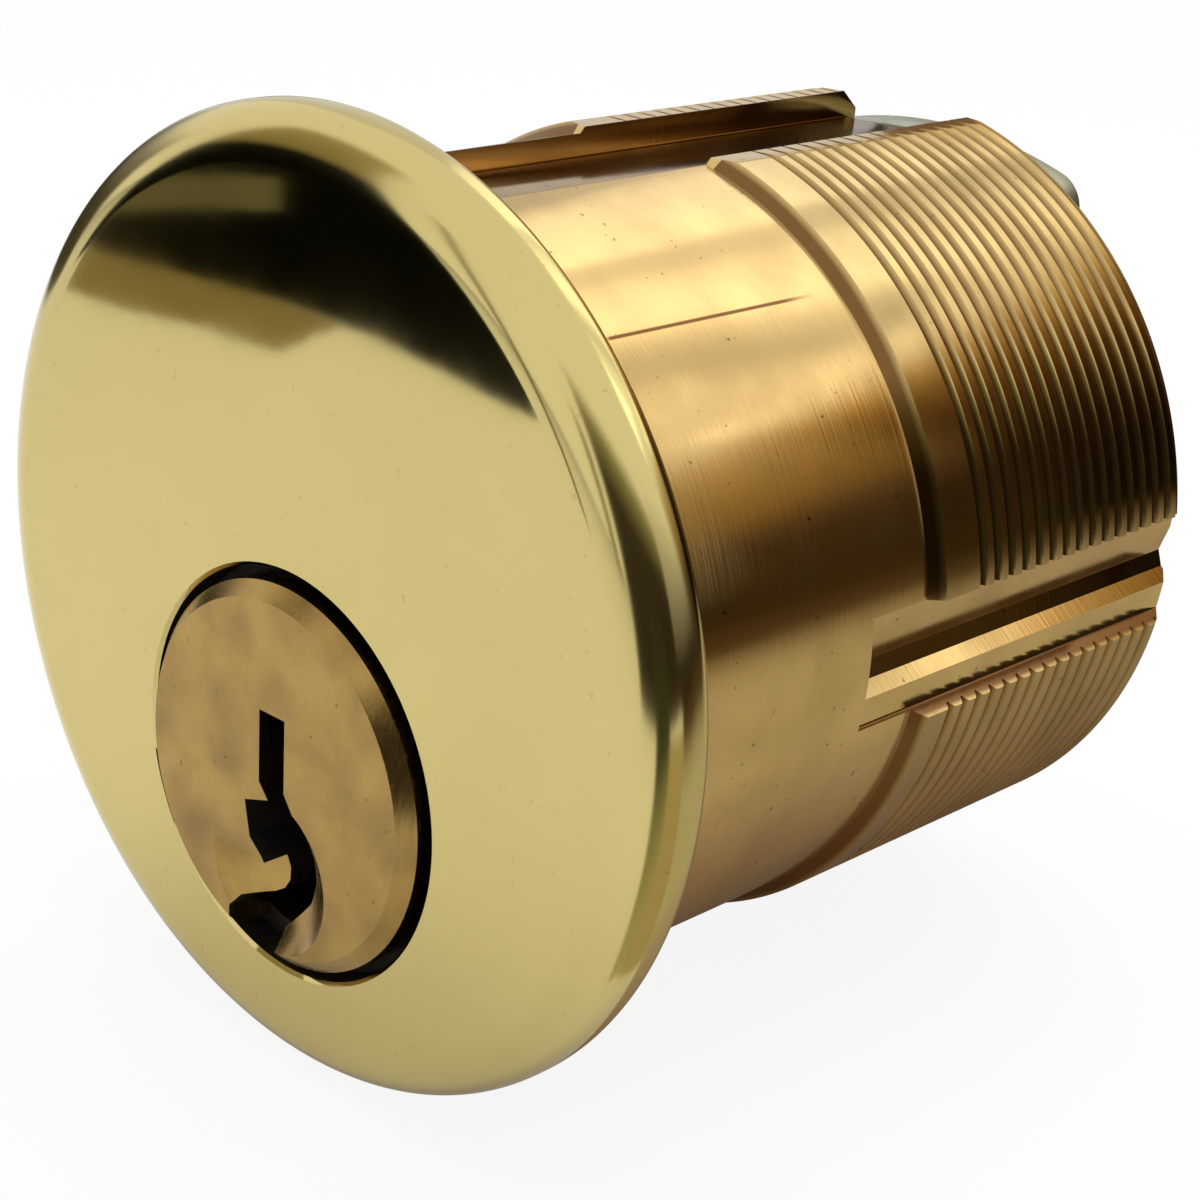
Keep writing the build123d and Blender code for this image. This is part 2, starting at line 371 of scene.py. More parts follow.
def thread_tool(sizes):
    """The helical cutter of the thread, one flared V carried round the body by a Screw modifier."""
    proud = 0.07 * MM
    flank = math.radians(30)
    worn_flank = math.radians(52)
    plain_turns = 2.2
    root = sizes.thread_radius - sizes.thread_depth
    shoulder = sizes.thread_radius - sizes.thread_depth / 5
    outer = sizes.thread_radius + proud
    half_root = sizes.thread_pitch / 24
    half_shoulder = half_root + (shoulder - root) * math.tan(flank)
    half_outer = half_shoulder + (outer - shoulder) * math.tan(worn_flank)
    start = sizes.thread_start + sizes.thread_pitch * plain_turns
    turns = math.ceil((BODY_REAR - start) / sizes.thread_pitch) + 1
    rising = [(root, -half_root), (shoulder, -half_shoulder), (outer, -half_outer)]
    falling = [(radius, -place) for radius, place in reversed(rising)]
    off_the_flats = math.radians(150 / sizes.smoothness)
    section = [
        (radius * math.cos(off_the_flats), start + place, radius * math.sin(off_the_flats))
        for radius, place in rising + falling + rising[:1]
    ]
    tool = drawn("thread_tool", section)
    bpy.ops.mesh.remove_doubles(threshold=0.002 * MM)
    bpy.ops.object.mode_set(mode="OBJECT")
    wind(tool, "Y", sizes.thread_pitch, turns, sizes.smoothness)
    close_ends(len(section))
    return tool


def set_screw_section(side):
    """Section of a side groove: a shallow V with a short upper wall, a knee and a wide lip below it."""
    outside = 15.6
    upper_wall = [(outside, 1.45), (13.95, 1.45)]
    root_and_knee = [(13.3, -0.45), (13.5, -1.05)]
    lip = [(13.97, -1.45), (13.80, -2.52), (outside, -3.56)]
    return [(side * x * MM, z * MM) for x, z in upper_wall + root_and_knee + lip]


def keyway_section():
    """Outline of the keyway about the plug's axis, open at its foot."""
    below = -PLUG_HEAD_RADIUS / MM - 1
    section = [(-0.57, -0.20), (-0.57, 2.42), (0.73, 2.42), (0.73, -0.20)]
    section += [(1.20, -0.84), (1.55, -1.66), (1.74, -2.50), (1.70, -3.36), (1.42, -4.24), (0.64, -5.14)]
    section += [(0.32, -5.50), (0.32, below), (-2.13, below), (-2.13, -5.50), (-1.85, -5.08), (-0.62, -4.61)]
    section += [(-0.22, -4.36), (-0.03, -4.00), (-0.04, -3.54), (-0.20, -3.18), (-0.43, -2.92)]
    section += [(-1.03, -2.44), (-1.17, -1.82), (-1.31, -1.14), (-0.09, -0.74)]
    return [(x * MM, PLUG_AXIS + z * MM) for x, z in section]


def dish_tool(sizes):
    """The ball that sinks the dish, without the part that the upper left ward fills."""
    reach = 2.9 * MM
    below_axis = 3.45 * MM
    aside = -0.02 * MM
    ball = (reach * reach + sizes.dish_depth * sizes.dish_depth) / (2 * sizes.dish_depth)
    before_face = PLUG_FACE - 2 * MM
    bowl = arc((0, PLUG_FACE + sizes.dish_depth - ball), ball, 90, 40, 24)
    bowl += [(bowl[-1][0], before_face), (0, before_face)]
    tool = beside(turned("dish_tool", bowl, 96, PLUG_AXIS - below_axis), aside)
    ward = [(-0.02, -3.13), (-6.0, -3.13), (-6.0, 3.0), (1.97, 3.0)]
    ward = [(x * MM, PLUG_AXIS + z * MM) for x, z in ward]
    return cut(tool, prism("ward_tool", ward, before_face - MM, PLUG_FACE + 2 * MM))


def cam_section(sizes):
    """Outline of the cam: a hub round the plug's axis and a broad lobe with round corners."""
    reach = (CAM_TIP - PLUG_AXIS) / MM
    corner = 1.4
    corner_out, corner_up = 5.414, 16.431
    hub_first, hub_last = 144.6, 395.4
    tip_first, tip_last = 73, 107
    outline = arc((0, 0), sizes.cam_hub / MM, hub_first, hub_last, 64)
    outline += arc((corner_out, corner_up), corner, 1, 71.8, 8)
    outline += arc((0, 0), reach, tip_first, tip_last, 16)
    outline += arc((-corner_out, corner_up), corner, 108.2, 179, 8)
    return [(x * MM, PLUG_AXIS + z * MM) for x, z in outline]


def spring_coil(sizes, place, low, high):
    """One compression spring of round wire, between two heights."""
    start_clean()
    coil_radius = span("pin_spring_1", 0)[1] - sizes.wire_radius
    foot = low + sizes.wire_radius
    rise = (high - low - 2 * sizes.wire_radius) / sizes.spring_turns
    upright = (math.pi / 2, 0, 0)
    bpy.ops.mesh.primitive_circle_add(
        vertices=12, radius=sizes.wire_radius, location=(coil_radius, 0, foot), rotation=upright
    )
    spring = added("coiled_spring")
    settle()
    wind(spring, "Z", rise, sizes.spring_turns, 28)
    bpy.ops.transform.translate(value=(0, place, 0))
    settle()
    close_ends(16)
    return smooth_by_angle(spring, 50)


def smooth_by_angle(piece, degrees):
    """Shade smooth, with edges sharper than the angle left crisp."""
    only(piece)
    bpy.ops.object.shade_smooth_by_angle(angle=math.radians(degrees))
    return piece


def soften(piece, width, segments=2):
    """Round the sharp edges of a plain piece with a bevel."""
    only(piece)
    bevel = piece.modifiers.new("Edge", "BEVEL")
    bevel.width = width
    bevel.segments = segments
    bevel.limit_method = "ANGLE"
    bevel.angle_limit = math.radians(35)
    bpy.ops.object.modifier_apply(modifier=bevel.name)
    return piece


def coat(piece, *materials):
    """Give a piece these materials and no others."""
    piece.data.materials.clear()
    for material in materials:
        piece.data.materials.append(material)


def dress(piece, material, slot, body, *nodes):
    """Give a piece its material and its place in the model."""
    coat(piece, material)
    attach(piece, body)
    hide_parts(*nodes)


# Materials


HEAD_FILM = (0.42, 0.32, 0.10)
PLUG_FILM = (0.22, 0.13, 0.05)
SPECK = (0.05, 0.03, 0.015)
DEEP_SHADE = (0.012, 0.010, 0.006)
LIGHTER_DEEP_SHADE = (0.035, 0.025, 0.012)


def new_metal(name, metallic=1.0):
    """A material with a Principled shader and nothing else, as its tree and its shader."""
    material = bpy.data.materials.new(name)
    material.use_nodes = True
    shader = material.node_tree.nodes["Principled BSDF"]
    shader.inputs["Metallic"].default_value = metallic
    return material.node_tree, shader


def object_place(tree):
    """The place of each point of a piece."""
    return tree.nodes.new("ShaderNodeTexCoord").outputs["Object"]


def parts_of(tree, place):
    """The X, Y and Z of a place."""
    node = tree.nodes.new("ShaderNodeSeparateXYZ")
    tree.links.new(place, node.inputs[0])
    return node.outputs


def placed_group(tree, group, **values):
    """Put a node group in a material and set its inputs."""
    node = tree.nodes.new("ShaderNodeGroup")
    node.node_tree = group
    for name, value in values.items():
        node.inputs[name.replace("_", " ").capitalize()].default_value = value
    return node


def feed(tree, socket, value):
    """Give a socket a link, a number or a colour."""
    if isinstance(value, bpy.types.NodeSocket):
        tree.links.new(value, socket)
    elif isinstance(value, (int, float)):
        socket.default_value = value
    else:
        socket.default_value = (*value, 1)


def maths(tree, operation, *values, clamp=False):
    """A Math node fed by sockets or numbers."""
    node = tree.nodes.new("ShaderNodeMath")
    node.operation = operation
    node.use_clamp = clamp
    for socket, value in zip(node.inputs, values):
        feed(tree, socket, value)
    return node.outputs[0]


def mixed(tree, factor, first, second):
    """A colour mix of two sockets or colours."""
    node = tree.nodes.new("ShaderNodeMix")
    node.data_type = "RGBA"
    for number, value in ((0, factor), (6, first), (7, second)):
        feed(tree, node.inputs[number], value)
    return node.outputs[2]


def spread(tree, value, low, high, to_low=0.0, to_high=1.0):
    """A clamped Map Range."""
    node = tree.nodes.new("ShaderNodeMapRange")
    tree.links.new(value, node.inputs["Value"])
    node.inputs["From Min"].default_value = low
    node.inputs["From Max"].default_value = high
    node.inputs["To Min"].default_value = to_low
    node.inputs["To Max"].default_value = to_high
    return node.outputs[0]


def noise(tree, vector, scale, detail=4.0, roughness=0.55):
    """A noise texture on a vector, in real metres."""
    node = tree.nodes.new("ShaderNodeTexNoise")
    feed(tree, node.inputs["Scale"], scale)
    node.inputs["Detail"].default_value = detail
    node.inputs["Roughness"].default_value = roughness
    tree.links.new(vector, node.inputs["Vector"])
    return node.outputs["Fac"]


def stretched(tree, vector, scale):
    """A Mapping node that stretches a pattern."""
    node = tree.nodes.new("ShaderNodeMapping")
    node.inputs["Scale"].default_value = scale
    tree.links.new(vector, node.inputs["Vector"])
    return node.outputs["Vector"]


NUMBER = "NodeSocketFloat"
COLOUR = "NodeSocketColor"


def group_with(name, inputs, outputs):
    """A new shader node group with its named sockets."""
    group = bpy.data.node_groups.new(name, "ShaderNodeTree")
    for label, kind, value in inputs:
        socket = group.interface.new_socket(name=label, in_out="INPUT", socket_type=kind)
        socket.default_value = value
    for label, kind in outputs:
        group.interface.new_socket(name=label, in_out="OUTPUT", socket_type=kind)
    return group, group.nodes.new("NodeGroupInput"), group.nodes.new("NodeGroupOutput")


def paint(tree, shader, colour, roughness):
    """Give the shader its colour and its roughness."""
    feed(tree, shader.inputs["Base Color"], colour)
    feed(tree, shader.inputs["Roughness"], roughness)


def tool_marks_group():
    """Fine rings that a lathe leaves round the Y axis, as a height."""
    inputs = [("Ring spacing", NUMBER, 9000.0), ("Wander", NUMBER, 0.4)]
    group, source, result = group_with("Lathe marks", inputs, [("Height", NUMBER)])
    rings = stretched(group, object_place(group), (0.02, 1.0, 0.02))
    fine = noise(group, rings, source.outputs["Ring spacing"], 3.0, 0.5)
    broad = noise(group, rings, 900.0, 2.0)
    lift = maths(group, "MULTIPLY", broad, source.outputs["Wander"])
    group.links.new(maths(group, "ADD", fine, lift), result.inputs["Height"])
    return group


def tarnish_group():
    """Cloudy film and small specks on bare brass."""
    inputs = [
        ("Clean", COLOUR, (0.6, 0.4, 0.15, 1)),
        ("Film", COLOUR, (0.16, 0.07, 0.02, 1)),
        ("Cloud size", NUMBER, 260.0),
        ("Cloud amount", NUMBER, 0.35),
        ("Speck amount", NUMBER, 0.6),
    ]
    outputs = [("Color", COLOUR), ("Film mask", NUMBER)]
    group, source, result = group_with("Brass tarnish", inputs, outputs)
    place = object_place(group)
    cloud = noise(group, place, source.outputs["Cloud size"], 5.0, 0.5)
    film = maths(group, "MULTIPLY", spread(group, cloud, 0.38, 0.68), source.outputs["Cloud amount"])
    grain = noise(group, place, 2600.0, 2.0)
    speck = maths(group, "MULTIPLY", spread(group, grain, 0.70, 0.76), source.outputs["Speck amount"])
    filmed = mixed(group, film, source.outputs["Clean"], source.outputs["Film"])
    group.links.new(mixed(group, speck, filmed, SPECK), result.inputs["Color"])
    group.links.new(film, result.inputs["Film mask"])
    return group


def bump(tree, height, distance, strength, shader):
    """Feed a height to the shader's normal."""
    node = tree.nodes.new("ShaderNodeBump")
    node.inputs["Distance"].default_value = distance
    node.inputs["Strength"].default_value = strength
    tree.links.new(height, node.inputs["Height"])
    tree.links.new(node.outputs["Normal"], shader.inputs["Normal"])


def slot_painted_shade(tree):
    """Painted shade: a mask that is highest inside the slot over the pin chambers."""
    parts = parts_of(tree, object_place(tree))
    half_slot = 3 * MM
    across = maths(tree, "ABSOLUTE", parts["X"])
    inside = spread(tree, across, half_slot + 0.02 * MM, half_slot + 0.06 * MM, 0.55, 0.0)
    return maths(tree, "MULTIPLY", inside, spread(tree, parts["Z"], 10 * MM, 11 * MM))


def distance_from_axis(tree, place):
    """How far a place is from the body's axis."""
    parts = parts_of(tree, place)
    across = maths(tree, "MULTIPLY", parts["X"], parts["X"])
    upward = maths(tree, "MULTIPLY", parts["Z"], parts["Z"])
    return maths(tree, "SQRT", maths(tree, "ADD", across, upward))


def hairline(tree):
    """A mask that is one along the thin scratch on the shank, which leans as it runs back."""
    angle = math.radians(39.9)
    place, front, rear = 2.5 * MM, 2.2 * MM, 12.0 * MM
    lean = 0.3
    width = 0.006
    parts = parts_of(tree, object_place(tree))
    clock = maths(tree, "ARCTAN2", parts["X"], parts["Z"])
    along = maths(tree, "SUBTRACT", parts["Y"], place)
    off = maths(tree, "SUBTRACT", clock, maths(tree, "MULTIPLY_ADD", along, lean, angle))
    thin = spread(tree, maths(tree, "ABSOLUTE", off), width / 2, width, 1.0, 0.0)
    starts = spread(tree, parts["Y"], front, front + 0.3 * MM)
    ends = spread(tree, parts["Y"], rear - 1.5 * MM, rear, 1.0, 0.0)
    return maths(tree, "MULTIPLY", thin, maths(tree, "MULTIPLY", starts, ends))


def tarnished(tree, groups, clean, film, **amounts):
    """Brass of one colour under a film of another."""
    return placed_group(tree, groups["tarnish"], clean=(*clean, 1), film=(*film, 1), **amounts)


def polished_brass(colours, groups):
    """The head: bright polished brass with a faint haze, duller round its rim."""
    tree, shader = new_metal("head_brass")
    amounts = {"cloud_size": 140.0, "cloud_amount": 0.10, "speck_amount": 0.15}
    tarnish = tarnished(tree, groups, colours.polished, HEAD_FILM, **amounts)
    place = object_place(tree)
    haze = spread(tree, noise(tree, place, 220.0, 3.0), 0.3, 0.7, 0.045, 0.075)
    rim = spread(tree, distance_from_axis(tree, place), HEAD_RADIUS - 2 * MM, HEAD_RADIUS - MM, 0.0, 0.09)
    paint(tree, shader, tarnish.outputs["Color"], maths(tree, "ADD", haze, rim))
    bump(tree, noise(tree, place, 420.0, 2.0), 0.004 * MM, 0.5, shader)


def raw_brass(colours, groups):
    """The shank and the slots: bare turned brass with lathe rings, clouds of brown film, one scratch and
    painted shade inside the top slot.
    """
    tree, shader = new_metal("shank_brass")
    amounts = {"cloud_size": 330.0, "cloud_amount": 0.20, "speck_amount": 0.7}
    tarnish = tarnished(tree, groups, colours.raw, colours.tarnish, **amounts)
    scratched = mixed(tree, hairline(tree), tarnish.outputs["Color"], colours.tarnish)
    # Painted shade: the brass inside the top slot is mixed towards the tarnish colour.
    slot_shaded = mixed(tree, slot_painted_shade(tree), scratched, colours.tarnish)
    marks = placed_group(tree, groups["marks"], ring_spacing=7000.0, wander=0.5)
    rough = maths(tree, "MULTIPLY", tarnish.outputs["Film mask"], 0.3)
    paint(tree, shader, slot_shaded, maths(tree, "ADD", rough, 0.11))
    bump(tree, marks.outputs["Height"], 0.012 * MM, 0.22, shader)


def threaded_brass(colours, groups, sizes):
    """The thread: the same bare brass, with painted shade: brown film that thickens towards its roots and
    lies thinly over its lower side.
    """
    tree, shader = new_metal("thread_brass")
    amounts = {"cloud_size": 330.0, "cloud_amount": 0.30, "speck_amount": 0.4}
    tarnish = tarnished(tree, groups, colours.threaded, colours.tarnish, **amounts)
    place = object_place(tree)
    radius = distance_from_axis(tree, place)
    root = sizes.thread_radius - sizes.thread_depth
    # Painted shade: the film grows towards the thread's roots, a little less towards the bottom.
    depth = spread(tree, radius, root + 0.08 * MM, sizes.thread_radius - 0.01 * MM, 0.9, 0.0)
    height = parts_of(tree, place)["Z"]
    root_shade_by_height = spread(tree, height, -4 * MM, 0.0, 0.75, 1.0)
    # Painted shade: a thin film over the lower side of the thread.
    worn = spread(tree, height, -3 * MM, -MM, 0.22, 0.0)
    film = maths(tree, "MULTIPLY_ADD", depth, root_shade_by_height, worn, clamp=True)
    paint(tree, shader, mixed(tree, film, tarnish.outputs["Color"], colours.tarnish), 0.13)


def brushed_brass(colours, groups):
    """The plug: duller brass with mottled film and upright brush strokes."""
    tree, shader = new_metal("barrel_brass")
    amounts = {"cloud_size": 380.0, "cloud_amount": 0.68, "speck_amount": 0.5}
    tarnish = tarnished(tree, groups, colours.brushed, PLUG_FILM, **amounts)
    place = object_place(tree)
    strokes = noise(tree, stretched(tree, place, (1.0, 1.0, 0.05)), 9000.0, 2.0)
    paint(tree, shader, tarnish.outputs["Color"], spread(tree, strokes, 0.3, 0.7, 0.20, 0.28))
    bump(tree, strokes, 0.006 * MM, 0.4, shader)


def plain_metal(name, colour, roughness, grain_size):
    """A dull cast or drawn metal with a fine grain."""
    tree, shader = new_metal(name)
    place = object_place(tree)
    grain = noise(tree, place, grain_size, 4.0)
    darker = tuple(part * 0.7 for part in colour)
    rough = spread(tree, grain, 0.3, 0.7, roughness - 0.06, roughness + 0.06)
    paint(tree, shader, mixed(tree, spread(tree, grain, 0.35, 0.7), colour, darker), rough)
    bump(tree, grain, 0.01 * MM, 0.3, shader)


def shadowed_brass():
    """The inside of the keyway and the bores: painted shade, brass painted nearly black."""
    tree, shader = new_metal("deep_painted_shade", 0.6)
    place = object_place(tree)
    cloud = noise(tree, place, 700.0, 3.0)
    paint(tree, shader, mixed(tree, spread(tree, cloud, 0.35, 0.7), DEEP_SHADE, LIGHTER_DEEP_SHADE), 0.6)


def material_set(context):
    """Every material by its name, built by the first operator that asks."""
    if "head_brass" not in bpy.data.materials:
        colours = context.scene.cylinder_colours
        groups = {"marks": tool_marks_group(), "tarnish": tarnish_group()}
        polished_brass(colours, groups)
        raw_brass(colours, groups)
        threaded_brass(colours, groups, context.scene.cylinder_sizes)
        brushed_brass(colours, groups)
        plain_metal("cam_zinc", tuple(colours.zinc), 0.42, 1500.0)
        plain_metal("bright_steel", tuple(colours.steel), 0.25, 3000.0)
        shadowed_brass()
    return bpy.data.materials


def paint_by_place(piece, materials, choose):
    """Give each face the material that a rule picks for its centre and normal."""
    coat(piece, *materials)
    for face in piece.data.polygons:
        face.material_index = choose(face.center, face.normal)


# Operators


class CYLINDER_OT_body(bpy.types.Operator):
    """Turn the body with its head, cut the thread, and mill the slot, the grooves and the bores"""

    bl_idname = "cylinder.body"
    bl_label = "Turn body"

    def execute(self, context):
        sizes = context.scene.cylinder_sizes
        rise = sizes.thread_radius - sizes.shank_radius
        front_centre = (HEAD_RADIUS - sizes.rim_front, HEAD_FACE + sizes.rim_depth)
        back_centre = (HEAD_RADIUS - sizes.rim_back, -sizes.rim_back)
        outline = [(0, HEAD_FACE), (HEAD_RADIUS * 0.6, HEAD_FACE)]
        outline += arc(front_centre, sizes.rim_front, -90, 0, 16, sizes.rim_depth)
        outline += arc(back_centre, sizes.rim_back, 0, 90, 8)
        outline += [(sizes.shank_radius, 0), (sizes.shank_radius, sizes.thread_start)]
        outline += [(sizes.thread_radius, sizes.thread_start + rise)]
        outline += [(sizes.thread_radius, BODY_REAR - sizes.chamfer_length)]
        outline += [(sizes.thread_radius - sizes.chamfer_drop, BODY_REAR), (0, BODY_REAR)]
        body = turned("machined_body", outline, sizes.smoothness)
        beyond = BODY_REAR + MM
        half = sizes.slot_width / 2
        above = sizes.thread_radius + MM
        gap = 0.02 * MM
        overlap = 0.01 * MM
        flat = four_sided(sizes.thread_flat, above, above, above)
        slot = four_sided(COVER_TOP, half, above + MM, half)
        dovetail = four_sided(COVER_FOOT, COVER_HALF_FOOT + gap, COVER_TOP + overlap, half)
        cut(body, prism("flat_tool", flat, sizes.thread_start, beyond))
        slot_front = 0.01 * MM
        cut(body, prism("slot_tool", slot, slot_front, beyond))
        cut(body, prism("dovetail_tool", dovetail, slot_front, beyond))
        for side in (-1, 1):
            cut(body, prism("groove_tool", set_screw_section(side), sizes.groove_front, beyond))
        recess_rear = HEAD_FACE + sizes.recess_depth
        edge = sizes.recess_edge
        bore = [(0, HEAD_FACE - MM), (sizes.recess_radius + edge + MM, HEAD_FACE - MM)]
        bore += [(sizes.recess_radius + edge, HEAD_FACE), (sizes.recess_radius, HEAD_FACE + edge)]
        bore += [(sizes.recess_radius, recess_rear), (sizes.bore_radius, recess_rear)]
        bore += [(sizes.bore_radius, beyond), (0, beyond)]
        cut(body, turned("bore_tool", bore, 160, PLUG_AXIS))
        mouth = (COVER_FOOT + COVER_TOP) / 2
        drill_chambers(body, "driver_pin", sizes.chamber_radius, PLUG_AXIS, mouth)
        cut(body, thread_tool(sizes))
        smooth_by_angle(body, CREASE)
        made = material_set(context)
        metals = [made["head_brass"], made["shank_brass"], made["thread_brass"], made["deep_painted_shade"]]

        def metal_of(centre, normal):
            from_plug = math.hypot(centre.x, centre.z - PLUG_AXIS)
            # Painted shade: the bore and the recess round the plug get the nearly black brass.
            if from_plug < sizes.recess_radius + 0.01 * MM and centre.y > HEAD_FACE + edge:
                return 3
            if centre.y < 0.01 * MM:
                return 0
            radius = math.hypot(centre.x, centre.z)
            outward = (centre.x * normal.x + centre.z * normal.z) / radius
            threaded = radius > sizes.thread_radius - sizes.thread_depth - 0.02 * MM
            milled = normal.z > 0.999 or (outward < 0.3 and abs(normal.y) < 0.1)
            if centre.y > sizes.thread_start and threaded and not milled:
                return 2
            return 1

        paint_by_place(body, metals, metal_of)
        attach(body, "cylinder")
        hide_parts("cylinder_body")
        return {"FINISHED"}


class CYLINDER_OT_plug(bpy.types.Operator):
    """Turn the plug and cut its keyway, dish, chambers and screw holes"""

    bl_idname = "cylinder.plug"
    bl_label = "Cut plug"

    def execute(self, context):
        sizes = context.scene.cylinder_sizes
        shoulder = HEAD_FACE + sizes.recess_depth - 0.05 * MM
        outline = [(0, PLUG_FACE), (PLUG_HEAD_RADIUS * 0.5, PLUG_FACE)]
        outline += [(PLUG_HEAD_RADIUS - sizes.plug_chamfer, PLUG_FACE)]
        outline += [(PLUG_HEAD_RADIUS, PLUG_FACE + sizes.plug_chamfer), (PLUG_HEAD_RADIUS, shoulder)]
        outline += [(sizes.plug_radius, shoulder), (sizes.plug_radius, PLUG_REAR), (0, PLUG_REAR)]
        plug = turned("keyed_plug", outline, 192, PLUG_AXIS)
        beyond = PLUG_REAR + MM
        cut(plug, dish_tool(sizes))
        chamber_floor = PLUG_AXIS - 1.2 * MM
        above_plug = 2 * MM
        drill_chambers(plug, "key_pin", sizes.chamber_radius, chamber_floor, above_plug)
        gap = 0.02 * MM
        drill_screw_holes(plug, sizes.screw_radius + gap, SCREW_FRONT - gap, beyond)
        cut(plug, prism("keyway_tool", keyway_section(), PLUG_FACE - MM, beyond))
        smooth_by_angle(plug, CREASE)
        made = material_set(context)

        def metal_of(centre, normal):
            from_axis = math.hypot(centre.x, centre.z - PLUG_AXIS)
            # Painted shade: faces deep inside the keyway and the bores get the nearly black brass.
            deep = centre.y > PLUG_FACE + sizes.dish_depth + 0.05 * MM
            if deep and from_axis < sizes.plug_radius - 0.02 * MM and centre.y < PLUG_REAR - 0.01 * MM:
                return 1
            return 0

        paint_by_place(plug, [made["barrel_brass"], made["deep_painted_shade"]], metal_of)
        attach(plug, "plug")
        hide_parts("plug")
        return {"FINISHED"}


class CYLINDER_OT_cover(bpy.types.Operator):
    """Draw the dovetail strip that closes the pin chambers"""

    bl_idname = "cylinder.cover"
    bl_label = "Draw cover"

    def execute(self, context):
        undercut = 0.25 * MM
        section = four_sided(COVER_FOOT, COVER_HALF_FOOT, COVER_TOP, COVER_HALF_FOOT - undercut)
        cover = soften(prism("dovetail_cover", section, COVER_FRONT, COVER_REAR), 0.06 * MM)
        smooth_by_angle(cover, 40)
        dress(cover, material_set(context)["shank_brass"], "turned_brass", "cylinder", "spring_cover")
        return {"FINISHED"}


class CYLINDER_OT_cam(bpy.types.Operator):
    """Cut the cam and turn the two screws that hold it"""

    bl_idname = "cylinder.cam"
    bl_label = "Cut cam and screws"

    def execute(self, context):
        sizes = context.scene.cylinder_sizes
        made = material_set(context)
        cam = prism("lobed_cam", cam_section(sizes), CAM_FRONT, CAM_REAR)
        play = 0.15 * MM
        drill_screw_holes(cam, sizes.screw_radius + play, CAM_FRONT - MM, CAM_REAR + MM)
        smooth_by_angle(soften(cam, sizes.cam_break, 3), 40)
        dress(cam, made["cam_zinc"], "zinc", "plug", "cam")
        crown = 0.25 * MM
        head_foot = SCREW_REAR - sizes.screw_head_height
        outline = [(0, SCREW_FRONT), (sizes.screw_radius - crown, SCREW_FRONT)]
        outline += [(sizes.screw_radius, SCREW_FRONT + crown), (sizes.screw_radius, head_foot)]
        outline += [(SCREW_HEAD_RADIUS, head_foot)]
        outline += arc((SCREW_HEAD_RADIUS - crown, SCREW_REAR - crown), crown, 0, 90, 5) + [(0, SCREW_REAR)]
        half = sizes.screw_slot_width / 2
        low = SCREW_HEIGHT - SCREW_HEAD_RADIUS - MM
        high = SCREW_HEIGHT + SCREW_HEAD_RADIUS + MM
        slot = four_sided(low, half, high, half)
        for side, offset in (("left", -SCREW_OFFSET), ("right", SCREW_OFFSET)):
            screw = turned("slotted_screw_" + side, outline, 64, SCREW_HEIGHT)
            cut(screw, prism("slot_tool", slot, SCREW_REAR - sizes.screw_slot_depth, SCREW_REAR + MM))
            beside(smooth_by_angle(screw, 35), offset)
            dress(screw, made["bright_steel"], "screw_steel", "plug", "cam_screw_" + side)
        return {"FINISHED"}


class CYLINDER_OT_pins(bpy.types.Operator):
    """Coil the pin springs and give the pins their brass"""

    bl_idname = "cylinder.pins"
    bl_label = "Coil springs"

    def execute(self, context):
        sizes = context.scene.cylinder_sizes
        made = material_set(context)
        for number, lift in enumerate(DRIVER_LIFTS, 1):
            low, high = span("pin_spring_%d" % number, 1)
            place = (low + high) / 2
            spring = spring_coil(sizes, place, SPRING_FOOT, SPRING_TOP)
            dress(spring, made["bright_steel"], "spring_steel", "cylinder", "pin_spring_%d" % number)
            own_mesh(spring)
        for name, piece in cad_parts.items():
            if name.startswith(("key_pin", "driver_pin")):
                coat(piece, made["shank_brass"])
        return {"FINISHED"}


class CYLINDER_OT_studio(bpy.types.Operator):
    """Set the floor, the lamp, the boards that the metal mirrors and the camera"""

    bl_idname = "cylinder.studio"
    bl_label = "Set studio"

    def execute(self, context):
        make_floor()
        make_world()
        make_lamp()
        make_boards()
        make_camera()
        return {"FINISHED"}


class CYLINDER_PT_panel(bpy.types.Panel):
    """The steps of the work, in order"""

    bl_label = "Mortise Cylinder"
    bl_idname = "CYLINDER_PT_panel"
    bl_space_type = "VIEW_3D"
    bl_region_type = "UI"
    bl_category = "Cylinder"

    def draw(self, context):
        for operator in STEPS:
            self.layout.operator(operator.bl_idname)


# Studio


def blank_material(name):
    """A new material with nothing but its output, as the material, its tree and the output."""
    material = bpy.data.materials.new(name)
    material.use_nodes = True
    material.node_tree.nodes.clear()
    return material, material.node_tree, material.node_tree.nodes.new("ShaderNodeOutputMaterial")


def choose_shader(tree, share, first, second, output):
    """Show the second shader for a share of the rays and the first for the others."""
    choice = tree.nodes.new("ShaderNodeMixShader")
    for socket, value in zip(choice.inputs, (share, first.outputs[0], second.outputs[0])):
        tree.links.new(value, socket)
    tree.links.new(choice.outputs[0], output.inputs["Surface"])


def ramp(tree, value, stops):
    """A colour for each place along a value, from (place in mm, grey or colour) stops."""
    first = stops[0][0]
    last = stops[-1][0]
    node = tree.nodes.new("ShaderNodeValToRGB")
    tree.links.new(spread(tree, value, first * MM, last * MM), node.inputs[0])
    while len(node.color_ramp.elements) < len(stops):
        node.color_ramp.elements.new(0.5)
    for element, (place, _) in zip(node.color_ramp.elements, stops):
        element.position = (place - first) / (last - first)
    for element, (_, colour) in zip(node.color_ramp.elements, stops):
        element.color = (*colour, 1) if isinstance(colour, tuple) else (colour, colour, colour, 1)
    return node.outputs[0]


